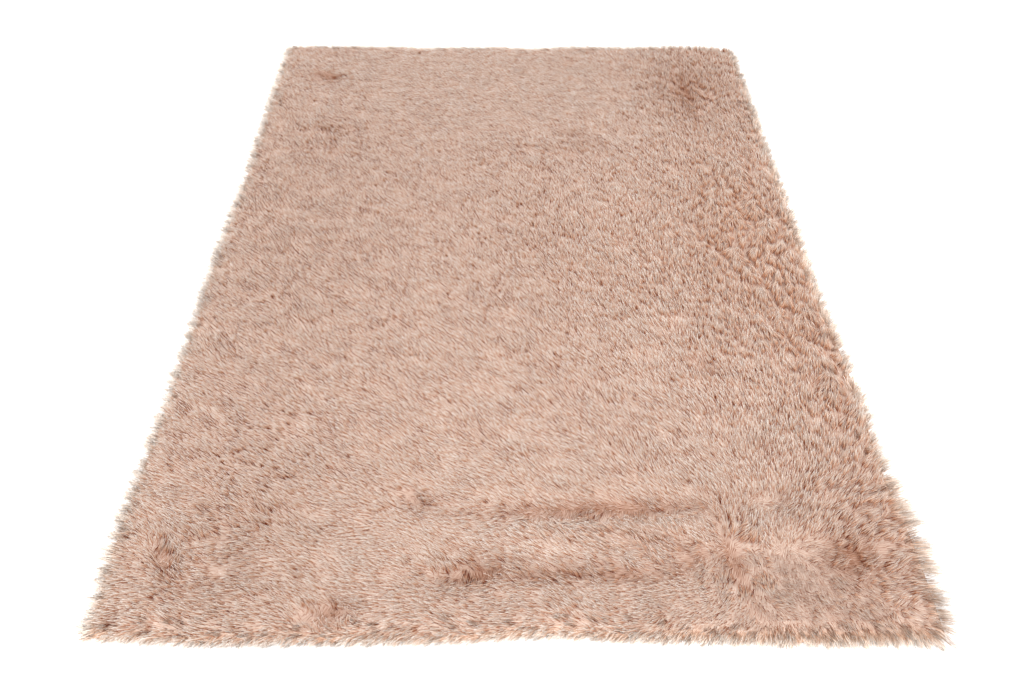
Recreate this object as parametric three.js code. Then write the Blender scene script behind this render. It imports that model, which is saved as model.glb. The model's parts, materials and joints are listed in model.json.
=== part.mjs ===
// A shag rug that lies flat: a long pile cloth bonded onto a thin woven backing cloth.
// Millimetres, +Z up, the rug's length along Y. The origin is at the middle of the underside.
import * as THREE from 'three';

const { seededRandom, degToRad, smoothstep, lerp } = THREE.MathUtils;

// Driving dimensions
const rugWidth = 1600;
const rugLength = 2300;
const cornerRadius = 26;
const backingThickness = 2;
const clothGap = 0.3; // between the backing and the pile cloth
const tuftPitch = 33; // one lump of pile, and one lock of the rim
const combedHeight = 29; // top of the pile where it lies combed down
const rimHeight = 19; // top of the pile where it rounds off at the edge
const rimInset = 5; // how far that round edge stands in from the cloth's cut
const combedLump = 3.6; // how far the tufts of combed pile stand above and below its mean height
const tuftLean = 12; // how far a tuft's top leans the way that the pile is brushed
const tuftScatter = 6; // how unevenly the tufts stand
const rimScatter = 3.5; // how uneven the round edge is
const lockReach = { front: 3, right: 17, back: 8, left: 14 }; // shortest lock along each side
const lockSpread = { front: 6, right: 20, back: 14, left: 18 }; // how much longer the longest one is
const lockScatter = 5; // how far a lock's tip strays along the edge
const lockSweep = 0.75; // how far the rim's locks follow the pile's lay
const lockKnee = { along: 0.5, width: 0.56, height: 0.5 }; // a lock's middle, as shares of its root
const lockTipHeight = 3.5; // lowest tip of a lock
const lockTipLift = 8; // how much higher the highest tip is

const acrossCount = Math.round(rugWidth / tuftPitch);
const alongCount = Math.round(rugLength / tuftPitch);
const pileFloor = backingThickness + clothGap;

// The cut edge wanders: how far it stands out of a straight line, at places along each side
const edgeWander = {
  front: [
    { at: -800, out: -5 }, { at: -580, out: 6 }, { at: -160, out: 3 }, { at: 40, out: -9 },
    { at: 300, out: 0 }, { at: 560, out: 5 }, { at: 800, out: -2 },
  ],
  back: [
    { at: -800, out: 3 }, { at: -400, out: 2 }, { at: -270, out: -6 }, { at: -60, out: 3 },
    { at: 90, out: -6 }, { at: 240, out: 6 }, { at: 480, out: 4 }, { at: 650, out: 8 },
    { at: 800, out: -4 },
  ],
  left: [
    { at: -1150, out: -3 }, { at: -900, out: 4 }, { at: -560, out: -4 }, { at: -150, out: 2 },
    { at: 300, out: -3 }, { at: 760, out: 3 }, { at: 1150, out: 5 },
  ],
  right: [
    { at: -1150, out: 4 }, { at: -980, out: 7 }, { at: -740, out: -3 }, { at: -560, out: 5 },
    { at: -180, out: -6 }, { at: 250, out: 0 }, { at: 780, out: 4 }, { at: 1150, out: 3 },
  ],
};

// Which way the tufts point, in degrees from +X, at places on the rug
const combStrokes = [
  { x: -720, y: 1060, toward: 128 }, { x: -420, y: 1060, toward: 170 },
  { x: 0, y: 1060, toward: 168 }, { x: 380, y: 1060, toward: 116 }, { x: 720, y: 1000, toward: 86 },
  { x: -700, y: 640, toward: 124 }, { x: -250, y: 740, toward: 152 }, { x: 180, y: 700, toward: 150 },
  { x: 500, y: 640, toward: 108 }, { x: -560, y: 250, toward: 128 }, { x: -180, y: 250, toward: 124 },
  { x: 220, y: 220, toward: 100 }, { x: 560, y: 160, toward: 92 }, { x: 730, y: 0, toward: 80 },
  { x: -560, y: -250, toward: 136 }, { x: -120, y: -220, toward: 132 },
  { x: 260, y: -250, toward: 113 }, { x: 600, y: -330, toward: 94 }, { x: 740, y: -560, toward: 84 },
  { x: -560, y: -640, toward: 150 }, { x: -120, y: -640, toward: 140 },
  { x: 300, y: -640, toward: 128 }, { x: -500, y: -920, toward: 158 },
  { x: -60, y: -960, toward: 158 }, { x: 260, y: -900, toward: 132 },
  { x: -560, y: -1120, toward: 190 }, { x: -150, y: -1120, toward: 186 },
  { x: 220, y: -1120, toward: 178 }, { x: 560, y: -900, toward: 96 }, { x: 540, y: -1090, toward: 230 },
  { x: 760, y: -900, toward: 30 }, { x: 770, y: -1050, toward: -4 }, { x: 740, y: -1130, toward: -40 },
];
const strokeRange = 150; // how far one stroke holds its direction against its neighbours

// Where the pile is brushed up: half-sizes along and across, the rise, and the tufts' own height
const ruffles = [
  { name: 'right flank', x: 650, y: 40, long: 520, wide: 210, turn: 90, rise: 4, lump: 8 },
  { name: 'middle of the field', x: 260, y: -60, long: 330, wide: 240, turn: 120, rise: 2, lump: 3 },
  { name: 'right edge', x: 740, y: -560, long: 420, wide: 90, turn: 90, rise: 3, lump: 5 },
  { name: 'back right corner', x: 620, y: 850, long: 230, wide: 150, turn: 96, rise: 6, lump: 8 },
  { name: 'front right corner', x: 690, y: -1010, long: 210, wide: 150, turn: 70, rise: 6, lump: 8 },
  { name: 'below the parting', x: 180, y: -945, long: 300, wide: 66, turn: 2, rise: 6, lump: 6 },
  { name: 'front patch', x: -60, y: -1020, long: 120, wide: 70, turn: 40, rise: 4, lump: 5 },
  { name: 'front left', x: -600, y: -970, long: 220, wide: 110, turn: 70, rise: 4, lump: 5 },
  { name: 'front edge', x: 250, y: -1120, long: 520, wide: 46, turn: 0, rise: 3, lump: 4 },
  { name: 'left tuft', x: -580, y: 540, long: 110, wide: 60, turn: 150, rise: 4, lump: 4 },
];

// Where the pile parts or is pressed in: half-sizes along and across, and the depth
const partings = [
  { name: 'long parting', x: 180, y: -866, long: 230, wide: 26, turn: 2, deep: 11 },
  { name: 'side parting', x: 430, y: -1000, long: 110, wide: 26, turn: 104, deep: 11 },
  { name: 'front patch', x: -110, y: -1000, long: 90, wide: 26, turn: 118, deep: 8 },
  { name: 'front dent', x: -350, y: -1110, long: 50, wide: 30, turn: 20, deep: 9 },
  { name: 'left front dent', x: -620, y: -1010, long: 70, wide: 30, turn: 120, deep: 8 },
  { name: 'small front dent', x: -200, y: -850, long: 46, wide: 28, turn: 150, deep: 7 },
  { name: 'right dent', x: 460, y: -470, long: 60, wide: 28, turn: 150, deep: 8 },
  { name: 'middle dent', x: 210, y: 540, long: 70, wide: 34, turn: 160, deep: 7 },
  { name: 'back left dent', x: -620, y: 920, long: 50, wide: 34, turn: 150, deep: 8 },
  { name: 'back right parting', x: 590, y: 800, long: 130, wide: 26, turn: 88, deep: 9 },
  { name: 'whorl', x: 665, y: -985, long: 46, wide: 40, turn: 0, deep: 10 },
];

// Where the rim's locks are longer
const longRims = [
  { x: 830, y: -1010, range: 170, more: 15 },
  { x: 700, y: 1170, range: 240, more: 6 },
  { x: 820, y: 0, range: 520, more: 5 },
];

// Smooth value at a place along a side, between the rows of that side's table
function wanderAt(rows, at) {
  const next = rows.findIndex((row) => row.at >= at);
  if (next === 0) return rows[0].out;
  if (next < 0) return rows[rows.length - 1].out;
  const [from, to] = [rows[next - 1], rows[next]];
  return lerp(from.out, to.out, smoothstep(at, from.at, to.at));
}

// Place in plan of a grid point, u and v from -1 to 1, with the edge's wander and round corners
function planPoint(u, v) {
  const x = (u * rugWidth) / 2;
  const y = (v * rugLength) / 2;
  const sideOut = wanderAt(u < 0 ? edgeWander.left : edgeWander.right, y);
  const endOut = wanderAt(v < 0 ? edgeWander.front : edgeWander.back, x);
  const atCorner = Math.abs(u) === 1 && Math.abs(v) === 1;
  const cornerCut = atCorner ? cornerRadius * (1 - Math.SQRT1_2) : 0;
  return new THREE.Vector2(
    x + Math.sign(u) * (sideOut * u * u - cornerCut),
    y + Math.sign(v) * (endOut * v * v - cornerCut),
  );
}

// Strength of an oval patch at a place, 1 at its middle and 0 far away
function patchAt(patch, place) {
  const turn = degToRad(patch.turn);
  const [dx, dy] = [place.x - patch.x, place.y - patch.y];
  const along = (dx * Math.cos(turn) + dy * Math.sin(turn)) / patch.long;
  const across = (dy * Math.cos(turn) - dx * Math.sin(turn)) / patch.wide;
  return Math.exp(-(along * along + across * across));
}

function sumOver(patches, place, size) {
  return patches.reduce((sum, patch) => sum + patchAt(patch, place) * patch[size], 0);
}

// Direction in which the pile is brushed at a place, as a unit vector
function layAt(place) {
  const lay = new THREE.Vector2();
  for (const stroke of combStrokes) {
    const distance = Math.hypot(place.x - stroke.x, place.y - stroke.y);
    const weight = 1 / (strokeRange ** 3 + distance ** 3);
    lay.x += Math.cos(degToRad(stroke.toward)) * weight;
    lay.y += Math.sin(degToRad(stroke.toward)) * weight;
  }
  return lay.normalize();
}

function scatter(size) {
  return (seededRandom() * 2 - 1) * size;
}

// Grid point numbers round the edge, anticlockwise from the front left corner
function rimRing() {
  const ring = [];
  for (let i = 0; i < acrossCount; i += 1) ring.push([i, 0]);
  for (let j = 0; j < alongCount; j += 1) ring.push([acrossCount, j]);
  for (let i = acrossCount; i > 0; i -= 1) ring.push([i, alongCount]);
  for (let j = alongCount; j > 0; j -= 1) ring.push([0, j]);
  return ring;
}

function gridPlan(i, j) {
  return planPoint((2 * i) / acrossCount - 1, (2 * j) / alongCount - 1);
}

// Top of the pile at a grid point: a leaning tuft or the gap beside one, or the round edge
function pileTop(i, j) {
  const place = gridPlan(i, j);
  const onRim = i === 0 || j === 0 || i === acrossCount || j === alongCount;
  const isTuft = (i + j) % 2 === 0;
  const lump = combedLump + sumOver(ruffles, place, 'lump');
  const swell = sumOver(ruffles, place, 'rise') - sumOver(partings, place, 'deep');
  if (onRim) {
    const toMiddle = place.clone().normalize().multiplyScalar(-rimInset);
    return new THREE.Vector3(place.x + toMiddle.x, place.y + toMiddle.y, rimHeight + scatter(rimScatter));
  }
  const nearRim = i === 1 || j === 1 || i === acrossCount - 1 || j === alongCount - 1;
  const lean = layAt(place).multiplyScalar(isTuft && !nearRim ? tuftLean : 0);
  const height = combedHeight + swell + (isTuft ? 1 : -1) * lump * (0.55 + scatter(0.45));
  return new THREE.Vector3(
    place.x + lean.x + scatter(tuftScatter),
    place.y + lean.y + scatter(tuftScatter),
    nearRim ? lerp(height, rimHeight, 0.25) : height,
  );
}

// Which side of the rug an outward direction faces
function sideFacing(outward) {
  if (Math.abs(outward.x) > Math.abs(outward.y)) return outward.x > 0 ? 'right' : 'left';
  return outward.y > 0 ? 'back' : 'front';
}

// One lock of the rim: it grows from a four-sided patch of the pile's side and runs to a point
function addRimLock(points, faces, root) {
  const corners = root.map((index) => points[index]);
  const middle = corners.reduce((sum, corner) => sum.add(corner), new THREE.Vector3()).divideScalar(4);
  const alongEdge = corners[1].clone().sub(corners[0]).setZ(0).normalize();
  const outward = new THREE.Vector3(alongEdge.y, -alongEdge.x, 0);
  const lay = layAt(middle);
  const direction = outward.clone().addScaledVector(new THREE.Vector3(lay.x, lay.y, 0), lockSweep);
  const away = Math.max(direction.dot(outward), 0.5);
  const sideways = direction.dot(alongEdge);
  direction.copy(outward).multiplyScalar(away).addScaledVector(alongEdge, sideways).normalize();
  const more = longRims.reduce((sum, rim) => {
    const distance = Math.hypot(middle.x - rim.x, middle.y - rim.y) / rim.range;
    return sum + rim.more * Math.exp(-distance * distance);
  }, 0);
  const side = sideFacing(outward);
  const reach = lockReach[side] + more + seededRandom() * lockSpread[side];
  const tip = middle.clone().addScaledVector(direction, reach).addScaledVector(alongEdge, scatter(lockScatter));
  tip.z = lockTipHeight + seededRandom() * lockTipLift;
  const kneeMiddle = middle.clone().lerp(tip, lockKnee.along);
  kneeMiddle.z = lerp(middle.z, tip.z, lockKnee.along ** 2);
  const first = points.length;
  for (const corner of corners) {
    const fromMiddle = corner.clone().sub(middle);
    const alongPart = alongEdge.clone().multiplyScalar(fromMiddle.dot(alongEdge) * lockKnee.width);
    points.push(kneeMiddle.clone().add(alongPart).setZ(kneeMiddle.z + fromMiddle.z * lockKnee.height));
  }
  points.push(tip);
  const tipIndex = points.length - 1;
  for (let side = 0; side < 4; side += 1) {
    const next = (side + 1) % 4;
    faces.push([root[side], root[next], first + next], [root[side], first + next, first + side]);
    faces.push([first + side, first + next, tipIndex]);
  }
}

// The pile: a lumpy slab, flat below, with a lock on each step of its rim
function makePile() {
  seededRandom(11);
  const points = [];
  const faces = [];
  const topIndex = (i, j) => j * (acrossCount + 1) + i;
  for (let j = 0; j <= alongCount; j += 1) {
    for (let i = 0; i <= acrossCount; i += 1) points.push(pileTop(i, j));
  }
  for (let j = 0; j < alongCount; j += 1) {
    for (let i = 0; i < acrossCount; i += 1) {
      const [a, b] = [topIndex(i, j), topIndex(i + 1, j)];
      const [c, d] = [topIndex(i + 1, j + 1), topIndex(i, j + 1)];
      if ((i + j) % 2 === 0) faces.push([a, b, c], [a, c, d]);
      else faces.push([a, b, d], [b, c, d]);
    }
  }
  const ring = rimRing();
  const floorStart = points.length;
  for (const [i, j] of ring) {
    const place = gridPlan(i, j);
    points.push(new THREE.Vector3(place.x, place.y, pileFloor));
  }
  const floorMiddle = points.length;
  points.push(new THREE.Vector3(0, 0, pileFloor));
  ring.forEach(([i, j], step) => {
    const nextStep = (step + 1) % ring.length;
    const [nextI, nextJ] = ring[nextStep];
    const [low, nextLow] = [floorStart + step, floorStart + nextStep];
    faces.push([floorMiddle, nextLow, low]);
    addRimLock(points, faces, [low, nextLow, topIndex(nextI, nextJ), topIndex(i, j)]);
  });
  return meshBody('pile', points, faces, { color: 0xceaf9d, roughness: 0.95, metalness: 0 });
}

// The backing: a flat cloth with the same cut as the pile cloth above it
function makeBacking() {
  const ring = rimRing();
  const points = [new THREE.Vector3(0, 0, 0), new THREE.Vector3(0, 0, backingThickness)];
  const faces = [];
  for (const [i, j] of ring) {
    const place = gridPlan(i, j);
    points.push(new THREE.Vector3(place.x, place.y, 0));
    points.push(new THREE.Vector3(place.x, place.y, backingThickness));
  }
  ring.forEach((_, step) => {
    const low = 2 + 2 * step;
    const nextLow = 2 + 2 * ((step + 1) % ring.length);
    faces.push([0, nextLow, low], [1, low + 1, nextLow + 1]);
    faces.push([low, nextLow, nextLow + 1], [low, nextLow + 1, low + 1]);
  });
  return meshBody('backing', points, faces, { color: 0xcdc3b8, roughness: 0.9, metalness: 0 });
}

function meshBody(name, points, faces, look) {
  const shape = new THREE.BufferGeometry();
  shape.setAttribute('position', new THREE.Float32BufferAttribute(points.flatMap((p) => [p.x, p.y, p.z]), 3));
  shape.setIndex(faces.flat());
  shape.computeVertexNormals();
  const body = new THREE.Mesh(shape, new THREE.MeshStandardMaterial(look));
  body.name = name;
  return body;
}

const rug = new THREE.Group();
rug.add(makeBacking(), makePile());

export default rug;
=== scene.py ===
import json
import math

import bpy
import numpy as np
from mathutils import Euler, Matrix, Vector

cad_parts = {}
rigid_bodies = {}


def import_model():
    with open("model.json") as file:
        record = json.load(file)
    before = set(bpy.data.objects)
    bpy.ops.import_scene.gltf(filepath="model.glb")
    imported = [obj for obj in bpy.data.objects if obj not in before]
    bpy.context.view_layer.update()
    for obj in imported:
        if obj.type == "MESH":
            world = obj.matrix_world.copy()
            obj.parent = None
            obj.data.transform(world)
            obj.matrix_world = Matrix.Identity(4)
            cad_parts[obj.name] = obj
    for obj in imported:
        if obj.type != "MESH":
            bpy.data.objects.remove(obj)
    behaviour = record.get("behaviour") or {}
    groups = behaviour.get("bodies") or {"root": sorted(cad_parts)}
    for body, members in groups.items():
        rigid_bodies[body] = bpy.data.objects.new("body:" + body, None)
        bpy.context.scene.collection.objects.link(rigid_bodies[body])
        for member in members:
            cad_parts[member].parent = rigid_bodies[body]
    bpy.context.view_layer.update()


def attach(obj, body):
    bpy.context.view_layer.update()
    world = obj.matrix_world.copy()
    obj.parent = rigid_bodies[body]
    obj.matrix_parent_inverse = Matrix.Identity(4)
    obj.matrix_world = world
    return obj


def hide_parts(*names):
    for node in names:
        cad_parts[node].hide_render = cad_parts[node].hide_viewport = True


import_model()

# A shag rug lying flat: thousands of locks of long pile, leaning the way they were brushed,
# on dense under-fur over a thin woven backing. Metres, +Z up, the rug's length along Y.

rug = {
    "width": 1.6,
    "length": 2.3,
    "cornerRadius": 0.026,
    "backingThickness": 0.002,
    "clothGap": 0.0003,  # between the backing and the under-fur
}

# How far the cut edge stands out of a straight line: (place along the side, out)
edgeWander = {
    "front": [(-0.8, -0.005), (-0.58, 0.006), (-0.16, 0.003), (0.04, -0.009), (0.3, 0),
              (0.56, 0.005), (0.8, -0.002)],
    "back": [(-0.8, 0.003), (-0.4, 0.002), (-0.27, -0.006), (-0.06, 0.003), (0.09, -0.006),
             (0.24, 0.006), (0.48, 0.004), (0.65, 0.008), (0.8, -0.004)],
    "left": [(-1.15, -0.003), (-0.9, 0.004), (-0.56, -0.004), (-0.15, 0.002), (0.3, -0.003),
             (0.76, 0.003), (1.15, 0.005)],
    "right": [(-1.15, 0.004), (-0.98, 0.007), (-0.74, -0.003), (-0.56, 0.005), (-0.18, -0.006),
              (0.25, 0), (0.78, 0.004), (1.15, 0.003)],
}

# Which way the pile is brushed: (x, y, degrees from +X)
combStrokes = [
    (-0.72, 1.06, 128), (-0.42, 1.06, 170), (0, 1.06, 168), (0.38, 1.06, 116), (0.72, 1.0, 86),
    (-0.55, 0.9, 166), (-0.2, 0.9, 174), (0.2, 0.9, 170),
    (-0.7, 0.64, 124), (-0.25, 0.74, 152), (0.18, 0.7, 150), (0.5, 0.64, 108),
    (-0.56, 0.25, 128), (-0.18, 0.25, 124), (0.22, 0.22, 100), (0.56, 0.16, 92), (0.73, 0, 80),
    (-0.56, -0.25, 136), (-0.12, -0.22, 132), (0.26, -0.25, 113), (0.6, -0.33, 94),
    (0.74, -0.56, 84), (-0.56, -0.64, 150), (-0.12, -0.64, 140), (0.3, -0.64, 128),
    (-0.5, -0.92, 158), (-0.06, -0.96, 158), (0.26, -0.9, 132), (-0.56, -1.12, 190),
    (-0.15, -1.12, 186), (0.2, -1.12, 180), (0.38, -1.1, 226), (0.56, -0.9, 96), (0.53, -1.1, 262),
    (0.66, -1.12, 285), (0.76, -0.9, 30), (0.77, -1.05, -4), (0.74, -1.13, -40),
]
strokeRange = 0.15  # how far one stroke holds its direction against its neighbours
swirls = {"size": 0.09, "field": 8, "front": 14}  # how wide the lay's own swirls are, and their degrees
clusters = {"size": 0.055, "looseness": 0.1}  # patches of loose locks: how wide, how loose
frontFade = {"from": -0.6, "over": 0.25}  # where the front's own amounts begin, how far until they are whole

# Where the pile is brushed up: x, y, half-sizes along and across, turn, how much
ruffles = [
    (0.65, 0.04, 0.52, 0.21, 90, 0.9),  # right flank
    (0.26, -0.06, 0.33, 0.24, 120, 0.35),  # middle of the field
    (0.74, -0.56, 0.42, 0.09, 90, 0.6),  # right edge
    (0.62, 0.85, 0.23, 0.15, 96, 0.8),  # back right corner
    (0.69, -1.01, 0.21, 0.15, 70, 0.6),  # front right corner
    (0.26, -0.95, 0.2, 0.03, -8, 0.75),  # below the long parting
    (0.14, -1.02, 0.27, 0.024, 2, 0.85),  # lower band
    (0.18, -0.882, 0.23, 0.014, 2, 0.5),  # at the long parting
    (-0.08, -1.01, 0.08, 0.05, 20, 0.6),  # front patch
    (-0.6, -0.97, 0.22, 0.11, 70, 0.5),  # front left
    (0.25, -1.12, 0.52, 0.046, 0, 0.4),  # front edge
    (-0.58, 0.54, 0.11, 0.06, 150, 0.5),  # left tuft
    (-0.62, 0.92, 0.08, 0.03, 165, 0.7),  # back left
    (0.16, 0.47, 0.16, 0.03, 0, 0.5),  # back middle
]

# Where the pile parts or is pressed in: x, y, half-sizes along and across, turn, how much
partings = [
    (0.18, -0.866, 0.23, 0.022, 2, 0.9),  # long parting
    (0.43, -1.0, 0.11, 0.02, 104, 0.7),  # side parting
    (-0.07, -1.025, 0.06, 0.014, 12, 0.7),  # front patch
    (-0.11, -0.965, 0.05, 0.01, 150, 0.5),  # above the front patch
    (-0.35, -1.11, 0.05, 0.03, 20, 0.8),  # front dent
    (-0.685, -1.0, 0.05, 0.02, 120, 0.7),  # left front dent
    (-0.2, -0.85, 0.046, 0.028, 150, 0.6),  # small front dent
    (0.46, -0.47, 0.06, 0.028, 150, 0.7),  # right dent
    (0.21, 0.54, 0.07, 0.034, 160, 0.6),  # middle dent
    (-0.62, 0.92, 0.05, 0.026, 160, 1),  # back left dent
    (-0.56, 0.57, 0.05, 0.02, 150, 0.7),  # left tuft
    (0.06, -1.03, 0.07, 0.012, 10, 0.6),  # lower band, left
    (0.22, -1.025, 0.08, 0.012, -4, 0.7),  # lower band, middle
    (0.34, -1.0, 0.05, 0.012, 30, 0.6),  # lower band, right
    (0.29, -0.945, 0.08, 0.012, -24, 0.6),  # upper band
    (0.59, 0.8, 0.13, 0.026, 88, 0.8),  # back right parting
    (0.665, -0.985, 0.046, 0.04, 0, 0.9),  # whorl
]

# Where the pile is brushed back on its own: x, y, half-sizes along and across, turn, degrees from +X,
# degrees above the floor
brushBacks = [
    (0.18, -0.885, 0.22, 0.016, 2, 255, 22),  # under the long parting
    (0.47, -0.99, 0.1, 0.035, 104, 40, 50),  # right of the side parting
    (0.43, -1.03, 0.07, 0.05, 0, 250, 30),  # below the side parting
    (-0.08, -1.03, 0.05, 0.014, 12, 285, 30),  # front patch
    (-0.35, -1.115, 0.05, 0.02, 0, 40, 60),  # front dent
    (-0.685, -0.99, 0.05, 0.02, 120, 60, 45),  # left front dent
    (-0.2, -0.855, 0.03, 0.012, 150, 300, 45),  # small front dent
    (0.52, -0.87, 0.04, 0.02, 0, 320, 50),  # whorl beside the long parting
]
brushBackFullness = 1.6  # above 1, the middle of such a patch is brushed back whole

# Light and shade painted on the pile: paler or darker for the way it lies to the light, and painted
# shade in its dents and partings. x, y, half-sizes along and across, turn, how much paler
paintedLightAndShade = [
    (0, 0, 1.2, 1.6, 0, -0.06),  # all over
    (-0.6, -0.1, 0.9, 0.25, 90, -0.12),  # left side
    (0, 0.85, 0.8, 0.25, 0, -0.05),  # back
    (0.36, 0.05, 0.5, 0.22, 90, 0.1),  # right of the middle
    (0.68, -0.1, 0.6, 0.12, 90, 0.1),  # right edge
    (0, -0.58, 0.5, 0.16, 0, 0.05),  # front of the field
    (0.18, -0.96, 0.3, 0.05, 0, 0.13),  # below the long parting
    (0.6, 0.86, 0.22, 0.16, 90, -0.14),  # back right corner
    (-0.62, 0.92, 0.045, 0.02, 165, -0.4),  # back left dent
    (-0.52, 0.575, 0.12, 0.025, 165, -0.12),  # left tuft
    (0.16, 0.47, 0.17, 0.022, 0, -0.12),  # back middle
    (0.2, 0.56, 0.035, 0.014, 0, -0.3),  # middle dent
    (0.28, 0.97, 0.12, 0.03, 0, -0.1),  # back edge
    (0.46, -0.47, 0.05, 0.018, 150, -0.22),  # right dent
    (0.18, -0.87, 0.23, 0.013, 2, -0.1),  # long parting
    (-0.2, -0.85, 0.04, 0.014, 160, -0.25),  # small front dent
    (0.29, -0.945, 0.1, 0.014, -24, -0.14),  # upper band
    (0.14, -1.025, 0.24, 0.016, 2, -0.1),  # lower band
    (-0.07, -1.025, 0.06, 0.014, 12, -0.14),  # front patch
    (-0.35, -1.11, 0.05, 0.018, 20, -0.25),  # front dent
    (-0.685, -1.0, 0.05, 0.018, 120, -0.14),  # left front dent
    (0.43, -1.0, 0.11, 0.016, 104, -0.13),  # side parting
    (0.665, -0.985, 0.05, 0.045, 0, -0.1),  # whorl
    (-0.5, -1.02, 0.26, 0.12, 60, -0.12),  # front left
    (-0.1, -1.04, 0.4, 0.1, 0, -0.09),  # front edge
    (0.55, -1.08, 0.14, 0.09, 0, 0.08),  # right of the front edge
]

# Where fewer dark strands, painted shade of the gaps, show between the combed locks: x, y, half-sizes
# along and across, turn, how many fewer
sleeks = [
    (0, -1.04, 0.9, 0.26, 0, 0.65),  # front
    (0, 0.95, 0.9, 0.4, 0, 0.32),  # back
    (-0.6, -0.1, 0.7, 0.25, 90, 0.14),  # left side
]

# Where the rim's locks are longer: x, y, range, how much longer
longRims = [
    (0.83, -0.96, 0.17, 0.85),  # right side near the front
    (0.84, -1.15, 0.07, 0.8),  # front right corner
    (0.7, 1.17, 0.24, 0.32),  # back right corner
    (0.82, 0, 0.52, 0.16),  # right side
]


def wanderAt(rows, at):
    # smooth value between the rows of one side's table
    places = np.array([row[0] for row in rows])
    outs = np.array([row[1] for row in rows])
    step = np.clip(np.searchsorted(places, at) - 1, 0, len(rows) - 2)
    share = np.clip((at - places[step]) / (places[step + 1] - places[step]), 0, 1)
    share = share * share * (3 - 2 * share)
    return outs[step] * (1 - share) + outs[step + 1] * share


def planPoint(u, v):
    # place in plan of a grid point, u and v from -1 to 1
    x = u * rug["width"] / 2
    y = v * rug["length"] / 2
    sideOut = np.where(u < 0, wanderAt(edgeWander["left"], y), wanderAt(edgeWander["right"], y))
    endOut = np.where(v < 0, wanderAt(edgeWander["front"], x), wanderAt(edgeWander["back"], x))
    atCorner = (np.abs(u) > 0.999) & (np.abs(v) > 0.999)
    cornerCut = np.where(atCorner, rug["cornerRadius"] * (1 - math.sqrt(0.5)), 0)
    return (x + np.sign(u) * (sideOut * u * u - cornerCut),
            y + np.sign(v) * (endOut * v * v - cornerCut))


def patchWeight(patchX, patchY, long, wide, turn, x, y):
    cosTurn, sinTurn = math.cos(math.radians(turn)), math.sin(math.radians(turn))
    along = ((x - patchX) * cosTurn + (y - patchY) * sinTurn) / long
    across = ((y - patchY) * cosTurn - (x - patchX) * sinTurn) / wide
    return np.exp(-(along ** 2 + across ** 2))


def patchSum(patches, x, y):
    total = np.zeros_like(x)
    for *patch, much in patches:
        total += much * patchWeight(*patch, x, y)
    return total


def waveNoise(x, y, size, seed):
    # smooth noise, mostly between -1 and 1: seven waves, 1.3 to 2.8 sizes long, that cross at random
    random = np.random.default_rng(seed)
    total = np.zeros_like(x)
    for _ in range(7):
        angle, phase = random.uniform(0, 2 * math.pi, 2)
        pitch = 2 * math.pi / (size * random.uniform(1.3, 2.8))
        total += np.sin((x * math.cos(angle) + y * math.sin(angle)) * pitch + phase)
    return total / 2.6


def frontMix(y, amounts):
    # goes over from the field's amount to the front's
    nearFront = np.clip((frontFade["from"] - y) / frontFade["over"], 0, 1)
    return amounts["field"] + (amounts["front"] - amounts["field"]) * nearFront


def layAt(x, y):
    # which way the pile is brushed, and how surely: 1 where all strokes agree, near 0 where they part;
    # and how far it is brushed back, and its incline there
    layX, layY, total = np.zeros_like(x), np.zeros_like(y), np.zeros_like(x)
    for strokeX, strokeY, toward in combStrokes:
        distance = np.hypot(x - strokeX, y - strokeY)
        weight = 1 / (strokeRange ** 3 + distance ** 3)
        layX += math.cos(math.radians(toward)) * weight
        layY += math.sin(math.radians(toward)) * weight
        total += weight
    size = np.hypot(layX, layY)
    swirl = np.radians(frontMix(y, swirls)) * waveNoise(x, y, swirls["size"], 11)
    layX, layY = ((layX * np.cos(swirl) - layY * np.sin(swirl)) / size,
                  (layX * np.sin(swirl) + layY * np.cos(swirl)) / size)
    back, backIncline = np.zeros_like(x), np.zeros_like(x)
    for *patch, toward, incline in brushBacks:
        share = np.clip(brushBackFullness * patchWeight(*patch, x, y), 0, 1)
        layX = layX * (1 - share) + math.cos(math.radians(toward)) * share
        layY = layY * (1 - share) + math.sin(math.radians(toward)) * share
        back = np.maximum(back, share)
        backIncline += (incline - backIncline) * share
    fold = np.maximum(np.hypot(layX, layY), 1e-6)
    return layX / fold, layY / fold, size / total * np.clip(fold, 0, 1), back, backIncline


def linearColour(hexText):
    # sRGB hex to linear RGBA
    parts = [int(hexText[i:i + 2], 16) / 255 for i in (1, 3, 5)]
    return (*[p / 12.92 if p <= 0.04045 else ((p + 0.055) / 1.055) ** 2.4 for p in parts], 1)


def addNode(tree, kind, inputs=None, **settings):
    # adds a node with its settings; an input is either a link or a fixed value
    node = tree.nodes.new(kind)
    for name, value in settings.items():
        setattr(node, name, value)
    for key, value in (inputs or {}).items():
        if isinstance(value, bpy.types.NodeSocket):
            tree.links.new(value, node.inputs[key])
        else:
            node.inputs[key].default_value = value
    return node


def newMaterial(name):
    material = bpy.data.materials.new(name)
    material.use_nodes = True
    material.node_tree.nodes.clear()
    return material, material.node_tree


def setRamp(node, stops):
    # stops: (place, hex colour)
    elements = node.color_ramp.elements
    while len(elements) < len(stops):
        elements.new(0.5)
    for element, (place, hexText) in zip(elements, stops):
        element.position = place
        element.color = linearColour(hexText)


def meshObject(name, points, faces):
    mesh = bpy.data.meshes.new(name)
    mesh.from_pydata([tuple(point) for point in points], [], faces)
    mesh.update()
    piece = bpy.data.objects.new(name, mesh)
    bpy.context.scene.collection.objects.link(piece)
    return piece


def storeValues(mesh, name, values):
    # one number for each point
    attribute = mesh.attributes.new(name, "FLOAT", "POINT")
    attribute.data.foreach_set("value", np.ravel(values))


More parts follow.
